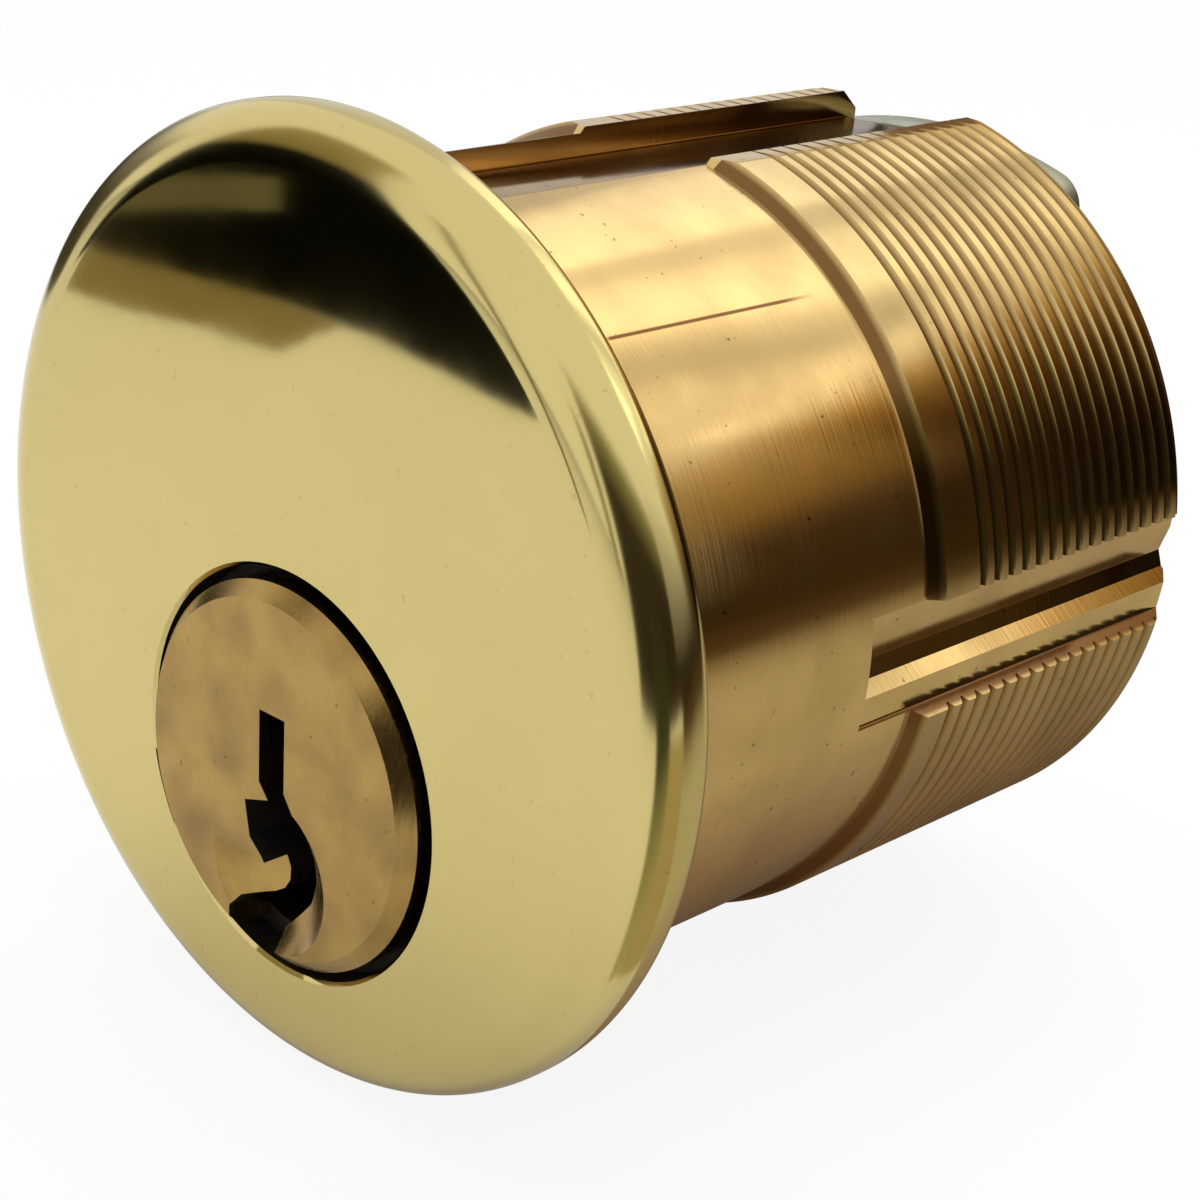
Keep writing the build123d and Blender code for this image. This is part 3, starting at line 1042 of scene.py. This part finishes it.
def board(name, corners, strength=1.0, **stops):
    """A glowing board that only reflections see, whose colour follows one or two of X, Y and Z."""
    start_clean()
    bpy.ops.mesh.primitive_plane_add(size=2)
    sheet = added(name)
    for vertex, corner in zip(sheet.data.vertices, corners):
        vertex.co = [place * MM for place in corner]
    sheet.visible_camera = False
    sheet.visible_diffuse = False
    sheet.visible_shadow = False
    sheet.visible_transmission = False
    sheet.visible_volume_scatter = False
    material, tree, output = blank_material(name)
    parts = parts_of(tree, object_place(tree))
    shades = [ramp(tree, parts[axis], places) for axis, places in stops.items()]
    colour = shades[0]
    if len(shades) > 1:
        product = tree.nodes.new("ShaderNodeMix")
        product.data_type = "RGBA"
        product.blend_type = "MULTIPLY"
        product.inputs[0].default_value = 1.0
        for number, shade in zip((6, 7), shades):
            tree.links.new(shade, product.inputs[number])
        colour = product.outputs[2]
    glow = tree.nodes.new("ShaderNodeEmission")
    glow.inputs["Strength"].default_value = strength
    tree.links.new(colour, glow.inputs["Color"])
    tree.links.new(glow.outputs[0], output.inputs["Surface"])
    sheet.data.materials.append(material)


def standing(left, right, foot, top):
    """Corners of an upright board between two places on the floor."""
    return [(*left, foot), (*right, foot), (*left, top), (*right, top)]


def dimmed(shade, strength):
    """A grey or a colour as a share of a board's strength."""
    if isinstance(shade, tuple):
        return tuple(part / strength for part in shade)
    return shade / strength


def make_boards():
    """The room that the metal mirrors: a window behind the table, dark shelves below it, and dim sides."""
    floor = -HEAD_RADIUS / MM
    table = floor + 0.05
    brown = (0.05, 0.03, 0.012)
    window = [(-95, 0.55), (-82, 0.75), (-31, 1.0), (-25, 0.6), (-10, 0.62), (-3, 0.78), (25, 1.0)]
    window += [(37, 1.0), (47, 0.64), (62, 0.46), (70, 0.38), (78, 0.6), (90, 0.68), (106, 0.55), (165, 0.5)]
    shelf = [(floor, brown), (27, brown), (38, (0.10, 0.06, 0.03)), (52, (0.25, 0.16, 0.07))]
    shelf += [(71, (0.38, 0.28, 0.14)), (89, (0.60, 0.48, 0.30)), (102, 0.95), (120, 1.0), (200, 1.0)]
    board("rear_window", standing((-95, 150), (165, 150), floor, 200), 2.0, X=window, Z=shelf)
    above_side = [(128, 0.5), (135, 1.0), (200, 1.0)]
    board("side_window", standing((108, 149), (165, 149), 128, 200), 2.2, Z=above_side)
    black = (0.002, 0.001, 0.0005)
    near_strength = 1.9
    near = [(floor, black), (37, (0.01, 0.004, 0.001)), (52, (0.04, 0.015, 0.003))]
    near += [(66, (0.10, 0.035, 0.004)), (78, (0.27, 0.15, 0.03)), (88, (0.72, 0.50, 0.18))]
    near += [(97, 1.65), (106, near_strength)]
    near = [(place, dimmed(shade, near_strength)) for place, shade in near]
    board("near_shelf", standing((25, 148), (112, 148), floor, 106), near_strength, Z=near)
    left_light = [(floor, (0.06, 0.05, 0.03)), (0, 0.2), (18, 0.7), (40, 0.8), (200, 0.8)]
    board("rear_left_board", standing((-95, 150), (-160, 70), floor, 200), Z=left_light)
    top = [(-20, (0.06, 0.04, 0.02)), (4, (0.12, 0.08, 0.05)), (8, (0.18, 0.13, 0.08))]
    top += [(12, (0.30, 0.22, 0.15)), (17, (0.42, 0.36, 0.28)), (24, (0.55, 0.52, 0.42))]
    top += [(42, (0.56, 0.54, 0.46)), (54, (0.48, 0.45, 0.38)), (70, (0.28, 0.23, 0.17))]
    top += [(84, (0.09, 0.06, 0.03)), (170, brown)]
    lying = [(-20, 4, table), (170, 4, table), (-20, 150, table), (170, 150, table)]
    board("rear_table", lying, X=top)
    dim = (0.035, 0.025, 0.015)
    right_light = [(floor, dim), (0, dim), (75, 1.0)]
    board("right_board", standing((165, 150), (110, -10), floor, 75), Z=right_light)
    side = (0.06, 0.05, 0.03)
    left_fade = [(floor, side), (14, side), (38, 0.3), (62, 1.0)]
    board("left_board", standing((-160, 70), (-180, -50), floor, 62), Z=left_fade)
    core = (0.003, 0.003, 0.0015)
    wall = [(floor, core), (26, core), (38, (0.28, 0.24, 0.12)), (90, (0.42, 0.38, 0.24)), (120, 1.0)]
    board("front_left_board", standing((-128, -66), (-50, -68), floor, 120), Z=wall)
    olive = (0.28, 0.23, 0.12)
    strip = [(-96, -56, table), (-69, -58, table), (-110, -67, table), (-73, -67, table)]
    board("front_left_strip", strip, Y=[(-67, olive), (-56, olive)])
    patch = [(-106, -65.5, -13.2), (-79, -66.5, -8.2), (-106, -65.5, -9.6), (-79, -66.5, -5.2)]
    moss = (0.15, 0.14, 0.09)
    board("front_left_patch", patch, Y=[(-67, moss), (-65, moss)])
    grey = (0.22, 0.21, 0.12)
    board("front_post", standing((-38, -84), (-32, -84), floor, 60), Z=[(floor, grey), (60, grey)])
    board("right_post", standing((14, -84), (21, -84), 0, 40), Z=[(0, grey), (30, grey), (40, 1.0)])
    shade = (0.05, 0.06, 0.03)
    shadow = [(17.5, -4.5, table), (18.5, -3.2, table), (50, -51, table), (69, -30, table)]
    towards_head = [(-51, shade), (-34, shade), (-16, (0.30, 0.30, 0.17)), (-3, (0.50, 0.48, 0.30))]
    board("front_shadow", shadow, Y=towards_head)
    board("front_shadow_end", standing((50, -51), (69, -30), floor, 16), Z=[(floor, shade), (16, dim)])
    fade = [(floor, dim), (26, dim), (44, (0.28, 0.28, 0.15)), (60, 1.0)]
    board("front_right_board", standing((26, -66), (62, -46), floor, 60), Z=fade)
    board("camera_side_board", standing((62, -46), (110, -10), floor, 60), Z=fade)
    warm = (0.48, 0.41, 0.25)
    beside_shadow = [(18.5, -3.2, table), (19, 3.9, table), (69, -30, table), (90, 3.9, table)]
    board("side_shade", beside_shadow, Y=[(-30, warm), (4, warm)])
    front_light = [(40, 0.625), (56, 1.0), (90, 1.0), (112, 0.625)]
    board("front_window", standing((63, -136), (130, -75), 40, 112), 1.6, Z=front_light)


def make_floor():
    """A plain pale floor just under the head's rim."""
    start_clean()
    bpy.ops.mesh.primitive_plane_add(size=1.2, location=(0, 0, -HEAD_RADIUS - 0.1 * MM))
    floor = added("floor")
    bpy.ops.object.transform_apply(location=True)
    material, tree, output = blank_material("pale_floor")
    plain = tree.nodes.new("ShaderNodeBsdfDiffuse")
    plain.inputs["Color"].default_value = (0.93, 0.93, 0.925, 1)
    white = tree.nodes.new("ShaderNodeEmission")
    white.inputs["Strength"].default_value = 1.0
    path = tree.nodes.new("ShaderNodeLightPath")
    seen = maths(tree, "MULTIPLY", path.outputs["Is Camera Ray"], FLOOR_WHITE_TO_CAMERA)
    mirrored = maths(tree, "MULTIPLY", path.outputs["Is Glossy Ray"], FLOOR_WHITE_TO_METAL)
    share = maths(tree, "ADD", seen, mirrored, clamp=True)
    choose_shader(tree, share, plain, white, output)
    floor.data.materials.append(material)


def make_world():
    """White where the camera, a reflection or glass sees it, and a soft plain light for all the rest."""
    world = bpy.data.worlds.new("studio")
    world.use_nodes = True
    tree = world.node_tree
    tree.nodes.clear()
    path = tree.nodes.new("ShaderNodeLightPath")
    seen = maths(tree, "ADD", path.outputs["Is Camera Ray"], path.outputs["Is Glossy Ray"])
    seen = maths(tree, "ADD", seen, path.outputs["Is Transmission Ray"], clamp=True)
    light = tree.nodes.new("ShaderNodeBackground")
    light.inputs["Color"].default_value = (0.95, 0.97, 1.0, 1)
    light.inputs["Strength"].default_value = 0.35
    white = tree.nodes.new("ShaderNodeBackground")
    white.inputs["Color"].default_value = (1, 1, 1, 1)
    choose_shader(tree, seen, light, white, tree.nodes.new("ShaderNodeOutputWorld"))
    bpy.context.scene.world = world


def make_lamp():
    """One broad soft lamp overhead, which no metal mirrors."""
    start_clean()
    place = Vector((-0.02, 0.06, 0.30))
    middle = Vector((0, 0.012, 0))
    width = 0.42
    radiance = 2.2
    bpy.ops.object.light_add(type="AREA", location=place)
    light = added("overhead_lamp")
    light.data.shape = "RECTANGLE"
    light.data.size = width
    light.data.size_y = width
    light.data.energy = radiance * math.pi * width * width
    light.rotation_euler = (middle - place).to_track_quat("-Z", "Y").to_euler()
    light.visible_glossy = False


def make_camera():
    """The photograph's view."""
    start_clean()
    bpy.ops.object.camera_add()
    camera = added("camera")
    right = Vector((0.7118062, 0.7000525, 0.0570821))
    up = Vector((-0.2934633, 0.2225833, 0.9296967))
    back = Vector((0.6381310, -0.6785154, 0.3638759))
    turn = Matrix((right, up, back)).transposed().to_4x4()
    camera.matrix_world = Matrix.Translation((60.250 * MM, -51.673 * MM, 31.529 * MM)) @ turn
    camera.data.sensor_width = 36
    camera.data.lens = 76.898
    camera.data.clip_start = 1 * MM
    camera.data.clip_end = 5
    bpy.context.scene.camera = camera
    bpy.context.scene.view_settings.view_transform = "Standard"


STEPS = (
    CYLINDER_OT_body,
    CYLINDER_OT_plug,
    CYLINDER_OT_cover,
    CYLINDER_OT_cam,
    CYLINDER_OT_pins,
    CYLINDER_OT_studio,
)
CLASSES = (CylinderSizes, CylinderColours, *STEPS, CYLINDER_PT_panel)


def register():
    """Register the classes and the settings."""
    for item in CLASSES:
        bpy.utils.register_class(item)
    bpy.types.Scene.cylinder_sizes = bpy.props.PointerProperty(type=CylinderSizes)
    bpy.types.Scene.cylinder_colours = bpy.props.PointerProperty(type=CylinderColours)


def unregister():
    """Take the settings and the classes away again."""
    del bpy.types.Scene.cylinder_colours
    del bpy.types.Scene.cylinder_sizes
    for item in reversed(CLASSES):
        bpy.utils.unregister_class(item)


def main():
    """Run every step."""
    register()
    bpy.ops.cylinder.body()
    bpy.ops.cylinder.plug()
    bpy.ops.cylinder.cover()
    bpy.ops.cylinder.cam()
    bpy.ops.cylinder.pins()
    bpy.ops.cylinder.studio()


if __name__ == "__main__":
    main()
